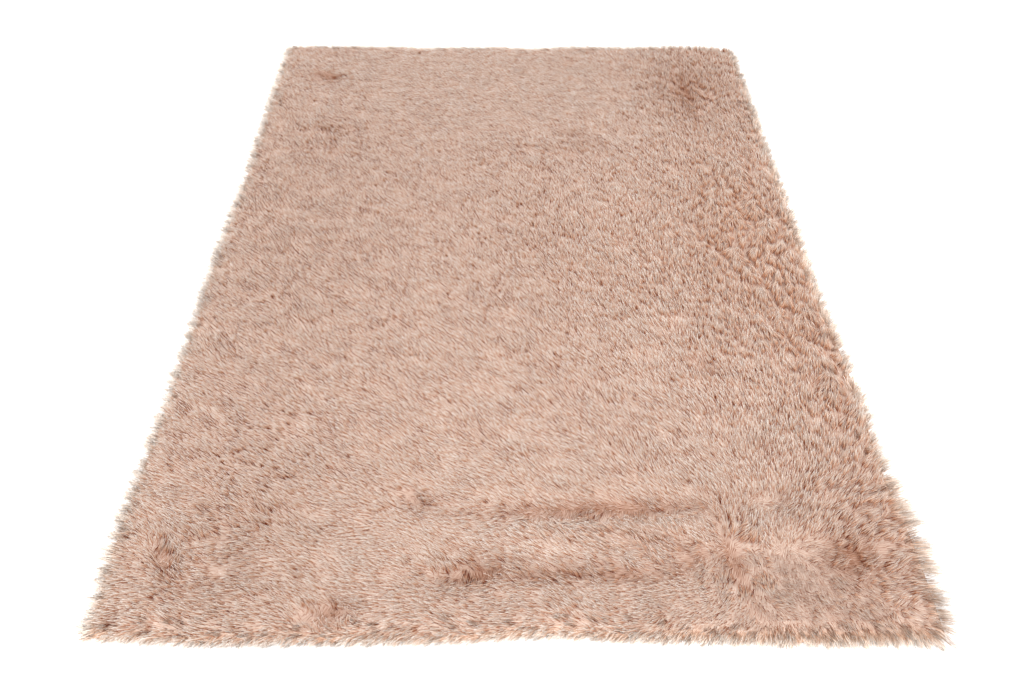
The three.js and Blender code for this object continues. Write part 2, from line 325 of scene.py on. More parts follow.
def gridFaces(rows, columns):
    # a grid's faces, and the point numbers round its edge, anticlockwise
    index = np.arange(rows * columns).reshape(rows, columns)
    faces = [(index[j, i], index[j, i + 1], index[j + 1, i + 1], index[j + 1, i])
             for j in range(rows - 1) for i in range(columns - 1)]
    ring = [*index[0, :-1], *index[:-1, -1], *index[-1, :0:-1], *index[:0:-1, 0]]
    return faces, ring


# Camera: stands in front of the rug and looks down at it
view = {
    "place": (-0.026, -1.9753, 1.5941),
    "pitch": 44.5,
    "yaw": 0.795,
    "roll": 0.689,
    "lens": 32.2,
    "sensor": 36,
}
cameraData = bpy.data.cameras.new("camera")
cameraData.lens = view["lens"]
cameraData.sensor_width = view["sensor"]
camera = bpy.data.objects.new("camera", cameraData)
bpy.context.scene.collection.objects.link(camera)
aim = Euler((math.radians(90 - view["pitch"]), 0, math.radians(-view["yaw"]))).to_matrix()
camera.matrix_world = Matrix.Translation(view["place"]) @ (
    aim @ Matrix.Rotation(math.radians(view["roll"]), 3, "Z")).to_4x4()
bpy.context.scene.camera = camera
print("camera done")


# Under-fur below the locks: a low closed slab, brown with painted shade between them
ground = {
    "step": 0.018,
    "ruffleLift": 0.001,
    "partingDip": 0.007,
    "lumpLift": 0.002,
    "lumpSize": 0.07,
    "lumpFade": 0.04,  # how far in from the cut edge all of these reach their full height
    "ruffledPaintedGapShade": 0.5,  # how far the loose fur's darker painted gap shade shows where ruffled, and 1 where parted
    # width of the ground's painted glow at the cut edge
    "rimPaintedGlowWidth": 0.016,
    "rim": [(0, 0.006), (0.005, 0.013), (0.013, 0.019), (0.03, 0.0235)],  # (in from the cut edge, height)
}


def gridRow(size, step):
    # places from -1 to 1 along one side, close together at both ends
    insets = [2 * inset / size for inset, _ in ground["rim"][:-1]]
    last = 2 * ground["rim"][-1][0] / size
    inner = np.linspace(-1 + last, 1 - last, round(size / step))
    return np.concatenate([[-1 + i for i in insets], inner, [1 - i for i in reversed(insets)]])


def groundGrid(step):
    # the rug's top as a grid: places from -1 to 1, places in metres, and how far in from the cut edge
    u, v = np.meshgrid(gridRow(rug["width"], step), gridRow(rug["length"], step))
    x, y = planPoint(u, v)
    inset = np.minimum((1 - np.abs(u)) * rug["width"], (1 - np.abs(v)) * rug["length"]) / 2
    rimPlaces, rimHeights = zip(*ground["rim"])
    rise = ground["ruffleLift"] * patchSum(ruffles, x, y) - ground["partingDip"] * patchSum(partings, x, y)
    rise += ground["lumpLift"] * waveNoise(x, y, ground["lumpSize"], 12)
    fade = np.clip(inset / ground["lumpFade"], 0, 1)
    z = np.interp(inset, rimPlaces, rimHeights) + rise * fade
    return u, v, x, y, z, inset


def makeGround():
    x, y, z, inset = groundGrid(ground["step"])[2:]
    points = np.stack([x.ravel(), y.ravel(), z.ravel()], axis=1)
    faces, ring = gridFaces(*x.shape)
    low = rug["backingThickness"] + rug["clothGap"]
    first = len(points)
    undersidePoints = points[ring].copy()
    undersidePoints[:, 2] = low
    points = np.concatenate([points, undersidePoints, [[0, 0, low]]])
    count = len(ring)
    for step in range(count):
        after = (step + 1) % count
        faces.append((ring[step], first + step, first + after, ring[after]))
        faces.append((first + step, first + count, first + after))
    piece = meshObject("pile_ground", points, faces)
    # painted shade: darker where the pile is ruffled or parted
    looseness = patchSum(ruffles, points[:, 0], points[:, 1]) * ground["ruffledPaintedGapShade"]
    looseness += patchSum(partings, points[:, 0], points[:, 1])
    # painted glow: the ground is coloured warmer, cream, near the cut edge
    rimShare = np.zeros(len(points))
    rimShare[:first] = np.clip(1 - inset.ravel() / ground["rimPaintedGlowWidth"], 0, 1)
    rimShare[first:] = 1
    storeValues(piece.data, "looseness", np.clip(looseness, 0, 1))
    storeValues(piece.data, "rimShare", rimShare)
    # map in metres: across the lay, then along it
    hairRun = piece.data.uv_layers.new(name="hairRun")
    centres = np.array([face.center for face in piece.data.polygons])
    layX, layY = layAt(centres[:, 0], centres[:, 1])[:2]
    places = []
    for face, runX, runY in zip(piece.data.polygons, layX, layY):
        for corner in face.vertices:
            px, py, pz = points[corner]
            places += [px * runY - py * runX, px * runX + py * runY - pz]
    hairRun.data.foreach_set("uv", places)
    return piece


pileGround = makeGround()
print("ground done", len(pileGround.data.polygons))


# Locks of pile, each a patch of fine strands that leans along +Z from its roots on the ground
lock = {
    "length": 0.030,
    "kinds": 8,  # of each shape below
    "bend": 0.004,  # how far the middle of a bent strand stands above its ends
    "bendPlace": 0.44,  # where along the strand that is
    "tipWidth": 0.6,  # of the root's, on a straight strand
    "darkLength": 0.75,  # of the others'
    "darkWidth": 1.2,
    "darkPaleness": 0.6,  # how far up the colours from root to tip a dark strand of painted gap shade goes
    # patchSize: side of the patch of ground that a lock grows from. incline: degrees that the ground lies
    # off its axis. gather: how far strands run together at their tips. stray: how far they stray there.
    # darkShare: how many are short dark ones, painted gap shade. darkLift: how far above the rest those stand
    "shapes": {
        "combed": {"bent": False, "rows": 3, "columns": 3, "width": 0.0011, "patchSize": 0.03,
                   "incline": 19, "gather": 0.1, "stray": 0.003, "shortest": 0.55, "longest": 1.0,
                   "darkShare": 0.13, "darkLift": 0.0035},
        "loose": {"bent": True, "rows": 3, "columns": 3, "width": 0.0014, "patchSize": 0.012,
                  "incline": 40, "gather": 0.4, "stray": 0.003, "shortest": 0.75, "longest": 1.1,
                  "darkShare": 0.19, "darkLift": 0},
        "rim": {"bent": False, "rows": 4, "columns": 4, "width": 0.0009, "patchSize": 0.013,
                "incline": 30, "gather": 0, "stray": 0.007, "shortest": 0.4, "longest": 1.05,
                "darkShare": 0.08, "darkLift": 0},
    },
}


def crossEdge(middle, width, turn):
    # the two ends of a strand's edge, across the strand and turned about it
    across = np.array((math.sin(turn), math.cos(turn), 0)) * width / 2
    return [middle - across, middle + across]


def makeLock(name, shape, seed, darkRank):
    random = np.random.default_rng(seed)
    points, faces, acrossMap, alongMap = [], [], [], []
    incline = math.radians(shape["incline"])
    rows, columns, strayRange, gather = [shape[key] for key in ("rows", "columns", "stray", "gather")]
    roots, tips, paintedGapStrands = [], [], []
    for number in range(rows * columns):
        along = ((number // columns + random.uniform(0.1, 0.9)) / rows - 0.5) * shape["patchSize"]
        side = ((number % columns + random.uniform(0.1, 0.9)) / columns - 0.5) * shape["patchSize"]
        root = np.array((-along * math.sin(incline), side, along * math.cos(incline)))
        stray = (random.uniform(-0.6, 0.6) * strayRange, random.uniform(-1, 1) * strayRange)
        paintedGapStrands.append(random.uniform(0, 1) < shape["darkShare"] * darkRank)
        if paintedGapStrands[-1]:
            root[0] += shape["darkLift"]
        reach = lock["length"] * random.uniform(shape["shortest"], shape["longest"])
        reach *= lock["darkLength"] if paintedGapStrands[-1] else 1
        roots.append(root)
        tips.append(root + (*stray, reach))
    for root, tip, isPaintedGap in zip(roots, tips, paintedGapStrands):
        near = sorted(tips, key=lambda other: np.hypot(*(other - tip)[:2]))[1]
        tip = tip + (near - tip) * (gather, gather, 0)
        # painted gap shade: the dark strands take the darkest dye; the rest take a random pale tone
        shade = random.uniform(0, 0.06) if isPaintedGap else random.uniform(0.6, 0.86)
        turn = random.uniform(-0.5, 0.5)
        size = shape["width"] * random.uniform(0.75, 1.25) * (lock["darkWidth"] if isPaintedGap else 1)
        paleness = lock["darkPaleness"] if isPaintedGap else 1
        first = len(points)
        if shape["bent"]:
            bendPlace = lock["bendPlace"]
            middle = root * (1 - bendPlace) + tip * bendPlace
            middle += (lock["bend"] * random.uniform(0.4, 1.2), random.uniform(-0.002, 0.002), 0)
            ring = crossEdge(middle, size, turn)
            ring.append(middle + (size * 0.4, 0, 0))
            points += [root, *ring, tip]
            alongMap += [0, bendPlace * paleness, bendPlace * paleness, 0.5 * paleness, paleness]
            acrossMap += [shade + 0.02, shade, shade + 0.04, shade + 0.02, shade + 0.03]
            for side in range(3):
                near, after = first + 1 + side, first + 1 + (side + 1) % 3
                faces += [(after, near, first), (near, after, first + 4)]
        else:
            points += crossEdge(root, size, turn)
            points += crossEdge(tip, size * lock["tipWidth"], turn + 0.6)
            alongMap += [0, 0.02, paleness - 0.02, paleness]
            acrossMap += [shade, shade + 0.04, shade, shade + 0.04]
            a, b, c, d = range(first, first + 4)
            faces += [(a, b, c), (b, a, d), (c, d, a), (d, c, b)]
    piece = meshObject(name, points, faces)
    storeValues(piece.data, "acrossStrand", acrossMap)
    storeValues(piece.data, "alongStrand", alongMap)
    return piece


lockKinds = bpy.data.collections.new("lockKinds")
for number, (shapeName, shape) in enumerate(lock["shapes"].items()):
    for kind in range(lock["kinds"]):
        place = number * lock["kinds"] + kind
        # dark strands, painted gap shade, are likelier the further on a combed kind is
        darkRank = (2 * kind + 1) / lock["kinds"] if shapeName == "combed" else 1
        piece = makeLock(f"lock{place:02d}", shape, 40 + place, darkRank)
        bpy.context.scene.collection.objects.unlink(piece)
        lockKinds.objects.link(piece)


# The pile: how its locks stand and lean
pile = {
    "lockSpacing": 0.0074,
    "lockDensity": 9000.0,  # locks to a square metre, at most
    "ruffledThinning": 0.15,  # how many fewer stand where ruffled
    "partedThinning": 0.3,
    "tuftSpacing": 0.024,
    "tuftDensity": 3000.0,
    "ruffledTufts": -0.45,  # how many fewer tufts, which makes each one wider
    "zones": 6,
    "overhang": 0.1,  # how far the end zones reach past the cut edge
    "combedIncline": {"field": 17, "front": 20},  # degrees above the floor
    "ruffledIncline": 42,
    "partedIncline": 50,  # how much more where strokes part
    "partedFrom": 0.75,  # how well strokes agree where that begins
    "brushedBackRuffle": 0.9,  # how ruffled the pile is where it is brushed back
    "combedReach": 0.8,  # of a lock's length
    "ruffledReach": 0.2,  # how much more where ruffled
    "partedReach": 0.25,  # how much less of it where parted
    "lengthStray": {"combed": 0.08, "loose": 0.12},  # how uneven locks are, and how much more at most
    "plainShade": 0.43,  # from 0, the darkest dye, to 1, the palest
    "paintedGlowShade": 0.38,  # how much paler at the rim: painted glow
    "glowWidth": 1.4,  # above 1, the palest part of the painted glow is a band along the cut edge
    "glowFade": 1.6,  # above 1, the rim's painted glow shows only near that edge
    "ruffledPaintedLight": 0.1,  # how much paler: painted light on the ruffled pile
    "partedPaintedShade": 0.1,  # how much darker: painted shade in partings
    "ruffledPaintedDepth": 0.45,  # how dark the painted shade is halfway up the ruffled locks, against 1 in a parting
    "rimSleek": 0.9,  # how far the rim's painted glow spares it the kinds with dark strands of painted gap shade
    "mostSleek": 0.85,
    "strandShade": 0.66,  # how far the strands of a lock differ
    "lockShade": 0.04,  # how far whole locks differ
    "tipPaleness": 0.94,  # of the palest, away from the rim, where only the painted glow reaches it
    "rimPaleness": 0.65,  # how far the rim's painted glow lifts what lies below the palest
    "bowFrom": 0.043,  # height above which the tallest locks bow
    "bowShare": 0.35,  # how much of their height above it they keep
    "floorGap": 0.0008,
    "rimLocks": 9000.0,  # how many more locks stand on each square metre of the rim
    "rimRoll": 1.2,  # above 1, the pile starts to roll over more gently
    "rimOutward": 0.55,  # least that the rim's locks point away from the rug
    # how the pile rolls over each edge: how far in it starts, its incline at the cut, how far it
    # follows the pile's lay, its locks' length, how thickly they stand and how pale their painted glow is
    "rims": {
        "left": {"width": 0.036, "incline": -6, "sweep": 0.7, "reach": 0.98, "crowd": 1, "glow": 1.02},
        "right": {"width": 0.034, "incline": -4, "sweep": 0.7, "reach": 1.2, "crowd": 1, "glow": 0.98},
        "front": {"width": 0.018, "incline": -38, "sweep": 0.7, "reach": 0.62, "crowd": 3.2, "glow": 0.68},
        "back": {"width": 0.042, "incline": -4, "sweep": 0.8, "reach": 0.95, "crowd": 1, "glow": 1.2},
    },
    "seed": 7,
}

# What the sheet under the locks, and the locks themselves, carry for the tree that grows them
carried = {"lean": "FLOAT_VECTOR", **dict.fromkeys((
    "ruffle", "reach", "rim", "density", "shade", "deep", "crowd", "glow", "sleek",
    "tint", "acrossStrand", "alongStrand"), "FLOAT")}


def makeSkin():
    # top of the ground as an open sheet, with what each lock that grows there needs to know
    u, v, x, y, z = groundGrid(ground["step"])[:5]
    points = np.stack([x.ravel(), y.ravel(), z.ravel()], axis=1)
    skin = meshObject("pile_skin", points, gridFaces(*x.shape)[0])
    layX, layY, sureness, back, backIncline = layAt(x, y)
    cluster = clusters["looseness"] * np.clip(waveNoise(x, y, clusters["size"], 13) + 0.1, 0, 1)
    ruffle = np.maximum(np.clip(patchSum(ruffles, x, y) + cluster, 0, 1), pile["brushedBackRuffle"] * back)
    parting = np.clip(patchSum(partings, x, y), 0, 1)
    # the rim: how far a place is in it, and what its nearest edges say
    rims = pile["rims"]
    side = {key: np.where(u < 0, rims["left"][key], rims["right"][key]) for key in rims["left"]}
    end = {key: np.where(v < 0, rims["front"][key], rims["back"][key]) for key in rims["front"]}
    sideShare = np.clip(1 - (1 - np.abs(u)) * rug["width"] / 2 / side["width"], 0, 1)
    endShare = np.clip(1 - (1 - np.abs(v)) * rug["length"] / 2 / end["width"], 0, 1)
    rimShare = np.maximum(sideShare, endShare)
    total = np.maximum(sideShare + endShare, 1e-6)
    rim = {key: (side[key] * sideShare + end[key] * endShare) / total for key in side}
    outX, outY = np.sign(u) * sideShare, np.sign(v) * endShare
    outSize = np.maximum(np.hypot(outX, outY), 1e-6)
    outX, outY = outX / outSize, outY / outSize
    rimX, rimY = outX + layX * rim["sweep"], outY + layY * rim["sweep"]
    push = np.maximum(pile["rimOutward"] - (rimX * outX + rimY * outY), 0)
    rimX, rimY = rimX + outX * push, rimY + outY * push
    # lean
    roll = rimShare ** pile["rimRoll"]
    leanX = layX * (1 - roll) + rimX * roll
    leanY = layY * (1 - roll) + rimY * roll
    size = np.maximum(np.hypot(leanX, leanY), 1e-6)
    incline = frontMix(y, pile["combedIncline"]) * (1 - ruffle) + pile["ruffledIncline"] * ruffle
    incline += np.clip(pile["partedFrom"] - sureness, 0, 1) * pile["partedIncline"]
    incline = incline * (1 - back) + backIncline * back
    incline = np.radians(incline * (1 - roll) + rim["incline"] * roll)
    lean = np.stack([leanX / size * np.cos(incline), leanY / size * np.cos(incline),
                     np.sin(incline)], axis=-1)
    # length
    reach = (pile["combedReach"] + pile["ruffledReach"] * ruffle) * (1 - rimShare) + rim["reach"] * rimShare
    for rimPlaceX, rimPlaceY, reachRange, more in longRims:
        distance = np.hypot(x - rimPlaceX, y - rimPlaceY) / reachRange
        reach += rimShare * more * np.exp(-distance ** 2)
    reach *= 1 - pile["partedReach"] * parting
    # how thickly locks stand, and their colour
    density = 1 - pile["ruffledThinning"] * ruffle * (1 - rimShare) - pile["partedThinning"] * parting
    # painted glow: the rim is coloured paler, as if lit through from behind
    glow = rim["glow"] * np.clip(rimShare * pile["glowWidth"], 0, 1) ** pile["glowFade"]
    # the dye's shade for each place, with painted light and shade for the way the pile lies and painted glow
    # at the rim
    shade = pile["plainShade"] + patchSum(paintedLightAndShade, x, y) + pile["paintedGlowShade"] * glow
    # painted light where the pile is ruffled, painted shade where it parts
    shade = shade + pile["ruffledPaintedLight"] * ruffle - pile["partedPaintedShade"] * parting
    crowd = rimShare * rim["crowd"]
    sleek = patchSum(sleeks, x, y) * (1 - ruffle) + pile["rimSleek"] * glow
    sleek = np.clip(sleek, 0, pile["mostSleek"])
    # painted shade down in the pile where it stands loose or parts, none at the rim
    deep = np.clip(pile["ruffledPaintedDepth"] * ruffle + parting, 0, 1) * (1 - rimShare)
    attribute = skin.data.attributes.new("lean", "FLOAT_VECTOR", "POINT")
    attribute.data.foreach_set("vector", lean.reshape(-1))
    for name, values in (("ruffle", ruffle), ("reach", reach), ("rim", rimShare),
                         ("density", density), ("shade", shade), ("deep", deep), ("crowd", crowd),
                         ("glow", glow), ("sleek", sleek)):
        storeValues(skin.data, name, values)
    return skin


def growPileTree():
    tree = bpy.data.node_groups.new("growPile", "GeometryNodeTree")
    interface = tree.interface
    interface.new_socket("Geometry", in_out="OUTPUT", socket_type="NodeSocketGeometry")
    for label, kind in (("Geometry", "Geometry"), ("Locks", "Collection"), ("Lock spacing", "Float"),
                        ("Lock density", "Float"), ("Rim density", "Float"), ("Tuft spacing", "Float"),
                        ("Zone from", "Float"), ("Zone to", "Float"), ("Seed", "Int"),
                        ("Material", "Material")):
        interface.new_socket(label, in_out="INPUT", socket_type="NodeSocket" + kind)
    given = addNode(tree, "NodeGroupInput").outputs
    position = addNode(tree, "GeometryNodeInputPosition").outputs[0]
    place = addNode(tree, "ShaderNodeSeparateXYZ", {0: position}).outputs
    values = {"height": place[2], "rimLocks": given["Rim density"]}
    for name, dataType in carried.items():
        values[name] = addNode(tree, "GeometryNodeInputNamedAttribute", {"Name": name},
                               data_type=dataType).outputs[0]
    # random amounts, one for each lock: name, lowest, highest, seed
    for name, low, high, seed in (("ownHold", 0.45, 0.95, 29), ("lengthStray", -1.0, 1.0, 24),
                                  ("kindShare", 0.0, 0.999, 26), ("newTint", 0.0, 1.0, 27)):
        values[name] = addNode(tree, "FunctionNodeRandomValue", {2: low, 3: high, "Seed": seed}).outputs[1]
    for name, low, high, seed in (("ownStray", (-0.06, -0.06, -0.03), (0.06, 0.06, 0.03), 22),
                                  ("upStray", (-0.15, -0.15, 1), (0.15, 0.15, 1), 23)):
        values[name] = addNode(tree, "FunctionNodeRandomValue", {0: low, 1: high, "Seed": seed},
                               data_type="FLOAT_VECTOR").outputs[0]
    for name, chance, seed in (("isLoose", "ruffle", 25), ("isRim", "rim", 28)):
        values[name] = addNode(tree, "FunctionNodeRandomValue", {6: values[chance], "Seed": seed},
                               data_type="BOOLEAN").outputs[3]
    # sums, one after the other: name, operation, and what goes in, by name or as a number
    kinds = float(lock["kinds"])
    lengthStray = pile["lengthStray"]
    for name, operation, *terms in (
            ("rimDensity", "MULTIPLY", "crowd", "rimLocks"),
            ("tuftDensity", "MULTIPLY_ADD", "ruffle", pile["ruffledTufts"], 1.0),
            # how far a lock leans with its tuft: not at all at the rim
            ("tuftLoose", "MULTIPLY_ADD", "ruffle", 1.1, 0.08),
            ("held", "MULTIPLY_ADD", "ruffle", "ownHold", 0.01),
            ("offRim", "SUBTRACT", 1.0, "rim"),
            ("hold", "MULTIPLY", "held", "offRim"),
            # length
            ("uneven", "MAXIMUM", "ruffle", "rim"),
            ("unevenRange", "MULTIPLY_ADD", "uneven", lengthStray["loose"], lengthStray["combed"]),
            ("ownLength", "MULTIPLY_ADD", "lengthStray", "unevenRange", 1.0),
            ("length", "MULTIPLY", "ownLength", "reach"),
            # which shape of lock, 0 combed, 1 loose or 2 rim, and which kind of it: sleek places
            # take the first kinds, and the first combed ones have the fewest dark strands of painted gap
            # shade
            ("rimShape", "MULTIPLY", "isRim", 2.0),
            ("shape", "MAXIMUM", "isLoose", "rimShape"),
            ("kindRange", "MULTIPLY_ADD", "sleek", -kinds, kinds),
            ("kindPlace", "MULTIPLY", "kindRange", "kindShare"),
            ("kind", "FLOOR", "kindPlace"),
            ("index", "MULTIPLY_ADD", "shape", kinds, "kind"),
            # the tallest locks bow, and the floor stops what hangs over the rim
            ("bent", "MULTIPLY_ADD", "height", pile["bowShare"], (1 - pile["bowShare"]) * pile["bowFrom"]),
            ("bowed", "MINIMUM", "height", "bent"),
            ("onFloor", "MAXIMUM", "bowed", pile["floorGap"]),
            # colour across: the strand's shade, the lock's and the place's
            ("strandShade", "MULTIPLY_ADD", "acrossStrand", pile["strandShade"], -pile["strandShade"] / 2),
            ("lockShade", "MULTIPLY_ADD", "tint", pile["lockShade"], -pile["lockShade"] / 2),
            ("ownShade", "ADD", "strandShade", "lockShade"),
            ("across", "ADD", "ownShade", "shade"),
            # colour up: root to tip, with painted shade darker midway where the pile stands loose or parts,
            # and painted glow paler at the rim
            ("toTip", "SUBTRACT", 1.0, "alongStrand"),
            ("midway", "MULTIPLY", "alongStrand", "toTip"),
            ("sunk", "MULTIPLY", "midway", "deep"),
            ("ownDepth", "MULTIPLY_ADD", "tint", 1.8, 0.1),
            ("sag", "MULTIPLY", "sunk", "ownDepth"),
            ("sagged", "SUBTRACT", "alongStrand", "sag"),
            ("paled", "MULTIPLY", "sagged", pile["tipPaleness"]),
            # painted glow lifts the rim's colour towards the palest
            ("rimPaleness", "MULTIPLY", "glow", pile["rimPaleness"]),
            ("toPalest", "SUBTRACT", 1.0, "paled"),
            ("rimMore", "MULTIPLY", "rimPaleness", "toPalest"),
            ("up", "ADD", "paled", "rimMore")):
        inputs = {number: values[term] if isinstance(term, str) else term
                  for number, term in enumerate(terms)}
        values[name] = addNode(tree, "ShaderNodeMath", inputs, operation=operation).outputs[0]
    # where locks and tufts stand
    roots = addNode(tree, "GeometryNodeDistributePointsOnFaces", {
        "Mesh": given["Geometry"], "Distance Min": given["Lock spacing"],
        "Density Max": given["Lock density"], "Density Factor": values["density"],
        "Seed": given["Seed"]}, distribute_method="POISSON")
    rimRoots = addNode(tree, "GeometryNodeDistributePointsOnFaces", {
        "Mesh": given["Geometry"], "Density": values["rimDensity"], "Seed": given["Seed"]},
        distribute_method="RANDOM")
    allRoots = addNode(tree, "GeometryNodeJoinGeometry")
    for some in (roots, rimRoots):
        tree.links.new(some.outputs["Points"], allRoots.inputs[0])
    tufts = addNode(tree, "GeometryNodeDistributePointsOnFaces", {
        "Mesh": given["Geometry"], "Distance Min": given["Tuft spacing"],
        "Density Max": pile["tuftDensity"], "Density Factor": values["tuftDensity"],
        "Seed": 3}, distribute_method="POISSON").outputs["Points"]
    # each lock leans partly its own way and partly to the tip of the tuft it stands in
    nearest = addNode(tree, "GeometryNodeSampleNearest", {
        "Geometry": tufts, "Sample Position": position}).outputs[0]
    tuftRoot, tuftLean = [addNode(tree, "GeometryNodeSampleIndex", {
        "Geometry": tufts, 1: value, "Index": nearest},
        data_type="FLOAT_VECTOR").outputs[0] for value in (position, values["lean"])]
    tuftStray = addNode(tree, "FunctionNodeRandomValue", {
        0: (-0.4, -0.4, -0.3), 1: (0.4, 0.4, 0.2), "ID": nearest, "Seed": 21},
        data_type="FLOAT_VECTOR").outputs[0]
    tuftSway = addNode(tree, "ShaderNodeVectorMath", {0: tuftStray, "Scale": values["tuftLoose"]},
                       operation="SCALE").outputs[0]
    tips = []
    for root, lean, sway in ((position, values["lean"], values["ownStray"]),
                             (tuftRoot, tuftLean, tuftSway)):
        direction = addNode(tree, "ShaderNodeVectorMath", {0: lean, 1: sway}, operation="ADD").outputs[0]
        reach = addNode(tree, "ShaderNodeVectorMath", {0: direction, "Scale": lock["length"]},
                        operation="SCALE").outputs[0]
        tips.append(addNode(tree, "ShaderNodeVectorMath", {0: root, 1: reach}, operation="ADD").outputs[0])
    target = addNode(tree, "ShaderNodeMix", {0: values["hold"], 4: tips[0], 5: tips[1]},
                     data_type="VECTOR").outputs[1]
    toTarget = addNode(tree, "ShaderNodeVectorMath", {0: target, 1: position},
                       operation="SUBTRACT").outputs[0]
    aimed = addNode(tree, "ShaderNodeVectorMath", {0: toTarget}, operation="NORMALIZE").outputs[0]
    turn = addNode(tree, "FunctionNodeAxesToRotation", {0: aimed, 1: values["upStray"]},
                   primary_axis="Z", secondary_axis="X").outputs[0]
    size = addNode(tree, "ShaderNodeCombineXYZ", {0: 1.0, 1: 1.0, 2: values["length"]}).outputs[0]
    tinted = addNode(tree, "GeometryNodeStoreNamedAttribute", {
        "Geometry": allRoots.outputs[0], "Name": "tint", "Value": values["newTint"]},
        data_type="FLOAT", domain="POINT").outputs[0]
    # only this zone's locks
    before = addNode(tree, "FunctionNodeCompare", {0: place[1], 1: given["Zone from"]},
                     operation="LESS_THAN").outputs[0]
    beyond = addNode(tree, "FunctionNodeCompare", {0: place[1], 1: given["Zone to"]},
                     operation="GREATER_EQUAL").outputs[0]
    outside = addNode(tree, "FunctionNodeBooleanMath", {0: before, 1: beyond}, operation="OR").outputs[0]
    bundle = addNode(tree, "GeometryNodeCollectionInfo", {
        "Collection": given["Locks"], "Separate Children": True, "Reset Children": True}).outputs[0]
    placed = addNode(tree, "GeometryNodeInstanceOnPoints", {
        "Points": tinted, "Instance": bundle, "Pick Instance": True, "Instance Index": values["index"],
        "Rotation": turn, "Scale": size}).outputs[0]
    kept = addNode(tree, "GeometryNodeDeleteGeometry", {"Geometry": placed, "Selection": outside},
                   domain="INSTANCE").outputs[0]
    solid = addNode(tree, "GeometryNodeRealizeInstances", {"Geometry": kept}).outputs[0]
    restedPlace = addNode(tree, "ShaderNodeCombineXYZ", {
        0: place[0], 1: place[1], 2: values["onFloor"]}).outputs[0]
    rested = addNode(tree, "GeometryNodeSetPosition", {"Geometry": solid, "Position": restedPlace}).outputs[0]
    # map for the pile's colours: shade across, root to tip upwards
    across = addNode(tree, "ShaderNodeClamp", {0: values["across"], 1: 0.0, 2: 1.0}).outputs[0]
    mapPlace = addNode(tree, "ShaderNodeCombineXYZ", {0: across, 1: values["up"]}).outputs[0]
    mapped = addNode(tree, "GeometryNodeStoreNamedAttribute", {
        "Geometry": rested, "Name": "OFBake", "Value": mapPlace},
        data_type="FLOAT2", domain="CORNER").outputs[0]
    flat = addNode(tree, "GeometryNodeSetShadeSmooth", {
        "Geometry": mapped, "Shade Smooth": False}).outputs[0]
    dressed = addNode(tree, "GeometryNodeSetMaterial", {
        "Geometry": flat, "Material": given["Material"]}).outputs[0]
    addNode(tree, "NodeGroupOutput", {0: dressed})
    return tree


def pileMaterial():
    # Acrylic faux fur, dyed a dusty blush: matt, painted shade brown between the locks, pale at the tips
    material, tree = newMaterial("acrylicFauxFur")
    mapUv = addNode(tree, "ShaderNodeUVMap", uv_map="OFBake").outputs[0]
    parts = addNode(tree, "ShaderNodeSeparateXYZ", {0: mapUv}).outputs
    # root to tip: the darker rust towards the roots is painted shade down in the pile, the palest end painted
    # rim glow
    along = addNode(tree, "ShaderNodeValToRGB", {0: parts[1]})
    setRamp(along, [(0, "#93523a"), (0.3, "#bb896b"), (0.6, "#d2b8a6"), (0.86, "#e0dbd6"), (1, "#fff8f1")])
    # dye across: the darkest end is painted gap shade for the dark strands, the palest end painted rim glow
    dye = addNode(tree, "ShaderNodeValToRGB", {0: parts[0]})
    setRamp(dye, [(0, "#7d4c37"), (0.18, "#976e58"), (0.34, "#bbb3ae"), (0.72, "#dddbd9"), (1, "#fdf2e7")])
    colour = addNode(tree, "ShaderNodeMix", {0: 1.0, 6: along.outputs[0], 7: dye.outputs[0]},
                     data_type="RGBA", blend_type="MULTIPLY").outputs[2]
    shader = addNode(tree, "ShaderNodeBsdfPrincipled", {
        "Base Color": colour, "Roughness": 0.75, "Specular IOR Level": 0.12}).outputs[0]
    addNode(tree, "ShaderNodeOutputMaterial", {0: shader})
    return material


def groundMaterial():
    # Dense under-fur: fine streaks along the lay, brown as painted shade between the locks, darker
    # rust brown as painted shade in the gaps where the pile stands loose, cream as painted glow where it
    # rolls over the cut edge
    material, tree = newMaterial("acrylicUnderFur")
    place = addNode(tree, "ShaderNodeUVMap", uv_map="hairRun").outputs[0]
    streaks = []
    # streaks to a metre, across and along: 1.2 mm wide and 20 mm long, then 3 mm wide and 38 mm long
    for across, along in ((850, 50), (330, 26)):
        stretched = addNode(tree, "ShaderNodeVectorMath", {0: place, 1: (across, along, 1)},
                            operation="MULTIPLY").outputs[0]
        streaks.append(addNode(tree, "ShaderNodeTexNoise", {
            "Vector": stretched, "Scale": 1.0, "Detail": 2.0}).outputs[0])
    streak = addNode(tree, "ShaderNodeMix", {0: 0.2, 2: streaks[0], 3: streaks[1]}).outputs[0]
    # brown as painted shade between the locks, darker where loose, warmer as painted glow at the rim
    combed = addNode(tree, "ShaderNodeValToRGB", {0: streak})
    setRamp(combed, [(0.37, "#7a4a34"), (0.43, "#ab9080"), (0.6, "#bcaa9e")])
    loose = addNode(tree, "ShaderNodeValToRGB", {0: streak})
    setRamp(loose, [(0.36, "#5f3423"), (0.5, "#86604c"), (0.66, "#a88c7c")])
    rim = addNode(tree, "ShaderNodeValToRGB", {0: streak})
    setRamp(rim, [(0.34, "#84573f"), (0.46, "#a8846c"), (0.6, "#be987f")])
    colour = combed.outputs[0]
    for name, other in (("looseness", loose), ("rimShare", rim)):
        share = addNode(tree, "ShaderNodeAttribute", attribute_name=name).outputs["Fac"]
        colour = addNode(tree, "ShaderNodeMix", {0: share, 6: colour, 7: other.outputs[0]},
                         data_type="RGBA").outputs[2]
    bump = addNode(tree, "ShaderNodeBump", {"Height": streak, "Strength": 0.7, "Distance": 0.002}).outputs[0]
    shader = addNode(tree, "ShaderNodeBsdfPrincipled", {
        "Base Color": colour, "Roughness": 0.9, "Specular IOR Level": 0.2,
        "Normal": bump}).outputs[0]
    addNode(tree, "ShaderNodeOutputMaterial", {0: shader})
    return material


